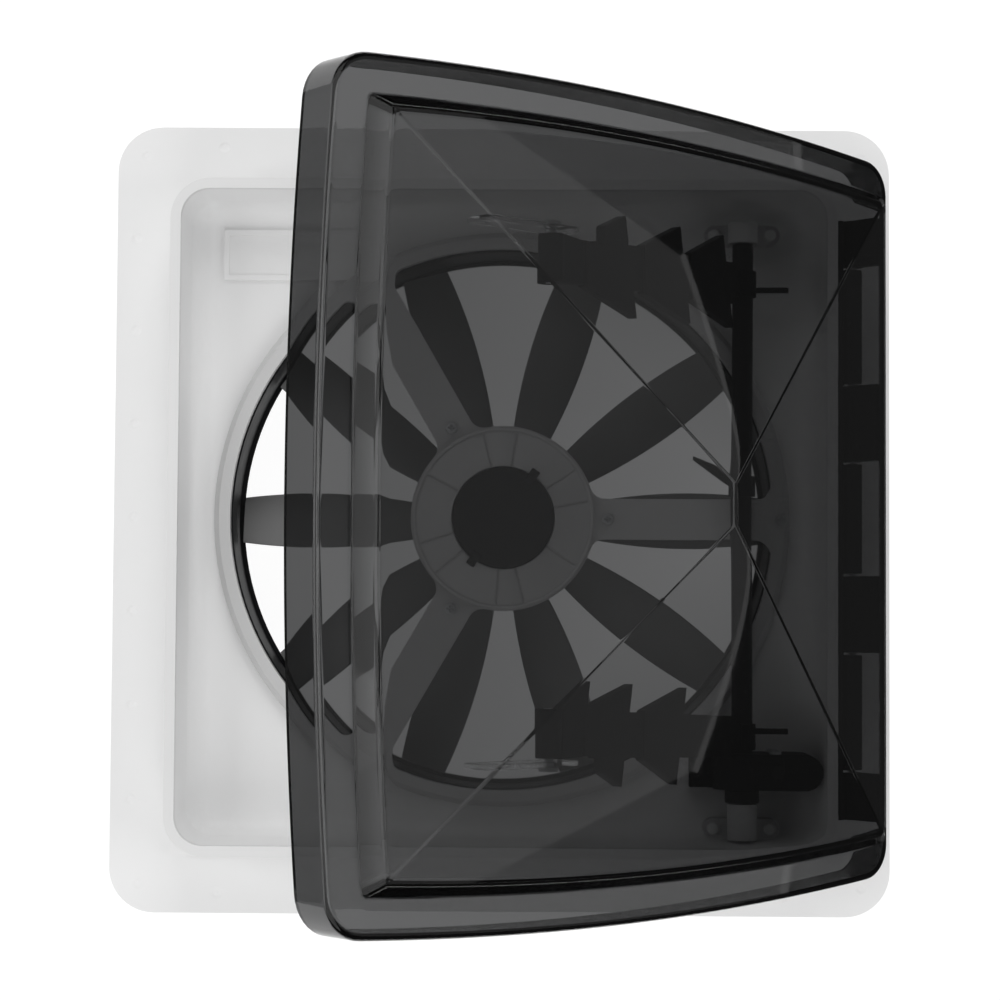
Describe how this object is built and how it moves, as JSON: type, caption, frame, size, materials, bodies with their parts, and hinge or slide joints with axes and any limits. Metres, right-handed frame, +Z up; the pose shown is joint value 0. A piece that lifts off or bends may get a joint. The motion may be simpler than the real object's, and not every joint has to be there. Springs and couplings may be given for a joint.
{
  "type": "camper roof vent fan",
  "caption": "Square camper roof vent with a flanged white base, a spinning fan on a spider bracket, and a smoked hinged lid raised by crank-driven lift arms.",
  "frame": {"origin": "middle of the roof flange, on its underside, at the centre of the four corner screw holes", "axes": "+Z up out of the roof along the fan's axis, +X towards the lid's hinge, +Y along the hinge"},
  "size_m": [0.4306, 0.4366, 0.3789],
  "materials": {
    "white_plastic": "satin moulded",
    "light_grey_plastic": "satin moulded",
    "dark_grey_plastic": "satin moulded",
    "black_plastic": "satin moulded",
    "smoked_acrylic": "gloss, see-through",
    "clear_plastic": "gloss, clear",
    "steel": "zinc plated",
    "dark_metal": "black coated",
    "core_iron": "laminated",
    "bronze": "sintered"
  },
  "bodies": {
    "base": {"roof_base": "white_plastic", "well_tray": "white_plastic", "fan_ring": "black_plastic", "motor_bracket": "light_grey_plastic", "ring_screws": "steel", "motor_screws": "steel", "motor_plate": "steel", "motor_can": "dark_metal", "motor_cap": "black_plastic", "motor_bushes": "bronze", "motor_cover": "light_grey_plastic", "hinge_base": "dark_metal", "hinge_pin": "steel", "hinge_screws": "steel", "shaft_bracket_upper": "white_plastic", "shaft_bracket_lower": "white_plastic", "bracket_screws": "white_plastic", "gear_housing": "black_plastic", "gear_cover": "black_plastic", "gear_screws": "steel", "crank_bush": "bronze"},
    "fan": {"impeller": "dark_grey_plastic", "motor_shaft": "steel", "armature": "core_iron", "fan_nut": "steel"},
    "lid": {"lid_shell": "smoked_acrylic", "lid_knuckles": "black_plastic", "lid_rail_upper": "clear_plastic", "lid_rail_lower": "clear_plastic"},
    "lift": {"lift_arm_upper": "black_plastic", "slide_pin_upper": "steel", "lift_arm_lower": "black_plastic", "slide_pin_lower": "steel", "arm_lock_pins": "dark_metal", "cross_shaft": "dark_metal", "shaft_collar": "dark_metal", "worm_wheel": "black_plastic", "shaft_finger": "black_plastic"},
    "crank": {"crank_spindle": "steel", "worm": "steel", "crank_knob": "white_plastic", "knob_screw": "steel"}
  },
  "joints": [
    {"name": "lid_hinge", "type": "hinge", "parent": "base", "child": "lid", "pos_m": [0.189, 0, 0.0335], "axis": [0, 1, 0], "range_deg": [-44, 0]},
    {"name": "lift_shaft", "type": "hinge", "parent": "base", "child": "lift", "pos_m": [0.131, 0, 0.02], "axis": [0, 1, 0], "range_deg": [-54, 1]},
    {"name": "crank_turn", "type": "hinge", "parent": "base", "child": "crank", "pos_m": [0.149, -0.13695, 0], "axis": [0, 0, 1], "range_deg": [-1270, 10]},
    {"name": "fan_spin", "type": "hinge", "parent": "base", "child": "fan", "pos_m": [0, 0, 0], "axis": [0, 0, 1], "continuous": true}
  ],
  "couplings": [
    {"joint": "lift_shaft", "follows": "lid_hinge", "ratio": 1.193},
    {"joint": "crank_turn", "follows": "lid_hinge", "ratio": 28.632}
  ]
}
